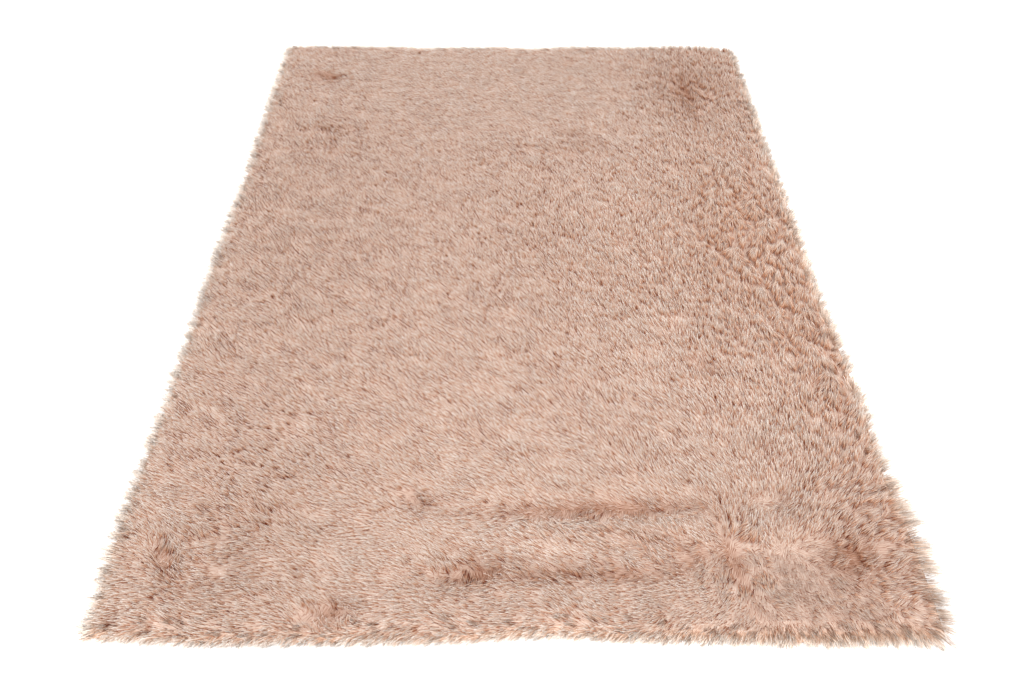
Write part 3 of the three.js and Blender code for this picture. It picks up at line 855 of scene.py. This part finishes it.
furMaterial = pileMaterial()
pileGround.data.materials.append(groundMaterial())
skin = makeSkin()
growPile = growPileTree()
inputNames = {item.name: item.identifier for item in growPile.interface.items_tree
              if item.in_out == "INPUT"}
pilePieces = []
edges = np.linspace(-rug["length"] / 2, rug["length"] / 2, pile["zones"] + 1)
edges[0] -= pile["overhang"]
edges[-1] += pile["overhang"]
for zone in range(pile["zones"]):
    modifier = skin.modifiers.new("growPile", "NODES")
    modifier.node_group = growPile
    for label, value in (("Locks", lockKinds), ("Lock spacing", pile["lockSpacing"]),
                         ("Lock density", pile["lockDensity"]), ("Rim density", pile["rimLocks"]),
                         ("Tuft spacing", pile["tuftSpacing"]),
                         ("Zone from", float(edges[zone])), ("Zone to", float(edges[zone + 1])),
                         ("Seed", pile["seed"]), ("Material", furMaterial)):
        modifier[inputNames[label]] = value
    skin.update_tag()
    bpy.context.view_layer.update()
    evaluated = skin.evaluated_get(bpy.context.evaluated_depsgraph_get())
    mesh = bpy.data.meshes.new_from_object(evaluated)
    skin.modifiers.remove(modifier)
    for name in carried:
        if name in mesh.attributes:
            mesh.attributes.remove(mesh.attributes[name])
    mesh.materials.pop(index=0)  # the empty slot that the locks bring with them
    piece = bpy.data.objects.new(f"pile_locks_{zone + 1}", mesh)
    bpy.context.scene.collection.objects.link(piece)
    pilePieces.append(piece)
    print("pile zone", zone + 1, "triangles", len(mesh.polygons))
bpy.data.objects.remove(skin)
for piece in list(lockKinds.objects):
    bpy.data.objects.remove(piece)
bpy.data.collections.remove(lockKinds)


# Backing: one thin woven cloth, cut as the under-fur above it
backing = {
    "step": 0.04,
    "weaveScale": 160.0,  # a wave of scale 1 is 314 mm long, so the threads lie 2 mm apart
}


def makeBacking():
    x, y = groundGrid(backing["step"])[2:4]
    cells, ring = gridFaces(*x.shape)
    count = x.size
    low = np.stack([x.ravel(), y.ravel(), np.zeros(count)], axis=1)
    high = low + (0, 0, rug["backingThickness"])
    faces = []
    for a, b, c, d in cells:
        faces.append((a, d, c, b))
        faces.append((count + a, count + b, count + c, count + d))
    for step, point in enumerate(ring):
        after = ring[(step + 1) % len(ring)]
        faces.append((point, after, count + after, count + point))
    return meshObject("backing_cloth", np.concatenate([low, high]), faces)


def backingMaterial():
    # Plain woven polyester, greige and matt: the weave shows as fine squares
    material, tree = newMaterial("wovenPolyester")
    place = addNode(tree, "ShaderNodeTexCoord").outputs["Object"]
    warp, weft = [addNode(tree, "ShaderNodeTexWave", {"Vector": place, "Scale": backing["weaveScale"]},
                          bands_direction=direction).outputs[1] for direction in "XY"]
    weave = addNode(tree, "ShaderNodeMath", {0: warp, 1: weft}, operation="MULTIPLY").outputs[0]
    colour = addNode(tree, "ShaderNodeValToRGB", {0: weave})
    setRamp(colour, [(0, "#8b8279"), (1, "#b2aaa2")])
    bump = addNode(tree, "ShaderNodeBump", {"Height": weave, "Strength": 0.5, "Distance": 0.0005}).outputs[0]
    shader = addNode(tree, "ShaderNodeBsdfPrincipled", {
        "Base Color": colour.outputs[0], "Roughness": 0.9, "Specular IOR Level": 0.2,
        "Normal": bump}).outputs[0]
    addNode(tree, "ShaderNodeOutputMaterial", {0: shader})
    return material


backingCloth = makeBacking()
backingCloth.data.materials.append(backingMaterial())
print("backing done")

for piece in (backingCloth, pileGround, *pilePieces):
    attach(piece, "root")
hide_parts("backing")
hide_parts("pile")


# Floor and light: white studio floor, soft light from all round and more from the front
studio = {
    "floorSize": 16,  # from its middle to each side
    "floorShade": (0.92, 0.92, 0.92, 1),
    "skyStrength": 1.86,
    "lampPower": 440,
    "lampSize": 5,
    "lampPlace": (1.4, -5.6, 4),
}
floorPoints = [(sx * studio["floorSize"], sy * studio["floorSize"], 0)
               for sx, sy in ((-1, -1), (1, -1), (1, 1), (-1, 1))]
floor = meshObject("studio_floor", floorPoints, [(0, 1, 2, 3)])
floorMaterial, floorTree = newMaterial("studioFloor")
floorShader = addNode(floorTree, "ShaderNodeBsdfDiffuse", {"Color": studio["floorShade"]}).outputs[0]
addNode(floorTree, "ShaderNodeOutputMaterial", {0: floorShader})
floor.data.materials.append(floorMaterial)
world = bpy.data.worlds.new("studio")
world.use_nodes = True
world.node_tree.nodes["Background"].inputs[0].default_value = (1, 1, 1, 1)
world.node_tree.nodes["Background"].inputs[1].default_value = studio["skyStrength"]
bpy.context.scene.world = world
lampData = bpy.data.lights.new("softLamp", "AREA")
lampData.energy = studio["lampPower"]
lampData.size = studio["lampSize"]
lamp = bpy.data.objects.new("softLamp", lampData)
lamp.location = studio["lampPlace"]
lamp.rotation_euler = (Vector((0, 0, 0)) - Vector(studio["lampPlace"])).to_track_quat("-Z", "Y").to_euler()
bpy.context.scene.collection.objects.link(lamp)
bpy.context.scene.view_settings.view_transform = "Standard"
print("studio done")
